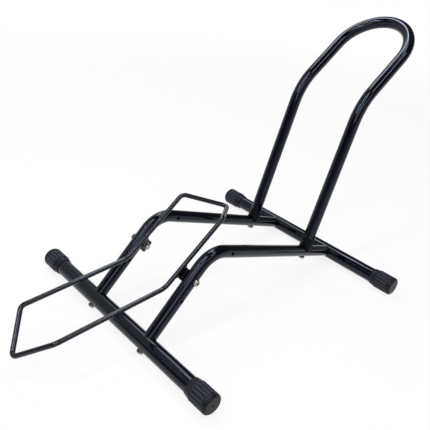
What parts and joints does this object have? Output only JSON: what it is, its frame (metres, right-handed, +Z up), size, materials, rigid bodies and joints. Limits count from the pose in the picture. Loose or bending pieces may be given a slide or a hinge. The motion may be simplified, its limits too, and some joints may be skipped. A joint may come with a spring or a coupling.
{
  "type": "floor bike stand",
  "caption": "Low floor stand that holds a parked bicycle by its wheel: crossbars on rubber caps, bent tube rails, a leaning hoop and a wire cradle that swings on pivot bolts.",
  "frame": {"origin": "on the floor, under the centre of the whole stand's box at rest", "axes": "+Z up, +Y the way the wheel rolls in, from the cradle to the hoop, +X to the stand's right"},
  "size_m": [0.4576, 0.8359, 0.4644],
  "materials": {
    "black_paint": "satin black powder coat",
    "grey_rubber": "matte moulded rubber",
    "black_plastic": "matte moulded plastic",
    "bright_zinc": "bright zinc plating"
  },
  "bodies": {
    "base": {"front_crossbar": "black_paint", "rear_crossbar": "black_paint", "rail_left": "black_paint", "rail_right": "black_paint", "wheel_hoop": "black_paint", "end_cap_front_left": "grey_rubber", "end_cap_front_right": "grey_rubber", "end_cap_rear_left": "grey_rubber", "end_cap_rear_right": "grey_rubber", "hoop_saddle_left": "black_plastic", "hoop_saddle_right": "black_plastic", "pivot_spacer_left": "black_plastic", "pivot_spacer_right": "black_plastic", "pivot_bolt_left": "bright_zinc", "pivot_bolt_right": "bright_zinc", "pivot_washer_left": "bright_zinc", "pivot_washer_right": "bright_zinc", "pivot_nut_left": "bright_zinc", "pivot_nut_right": "bright_zinc", "front_bar_bolt_left": "bright_zinc", "front_bar_bolt_right": "bright_zinc", "rear_bar_bolt_left": "bright_zinc", "rear_bar_bolt_right": "bright_zinc", "hoop_bolt_left": "bright_zinc", "hoop_bolt_right": "bright_zinc", "rail_front_plug_left": "bright_zinc", "rail_front_plug_right": "bright_zinc", "rail_rear_plug_left": "bright_zinc", "rail_rear_plug_right": "bright_zinc", "hoop_leg_plug_left": "bright_zinc", "hoop_leg_plug_right": "bright_zinc"},
    "cradle": {"cradle_wire": "black_paint", "pivot_bracket_left": "black_paint", "pivot_bracket_right": "black_paint"}
  },
  "joints": [
    {"name": "cradle_swing", "type": "hinge", "parent": "base", "child": "cradle", "pos_m": [0, -0.14788, 0.10429], "axis": [1, 0, 0], "range_deg": [-66.5, 8]}
  ]
}
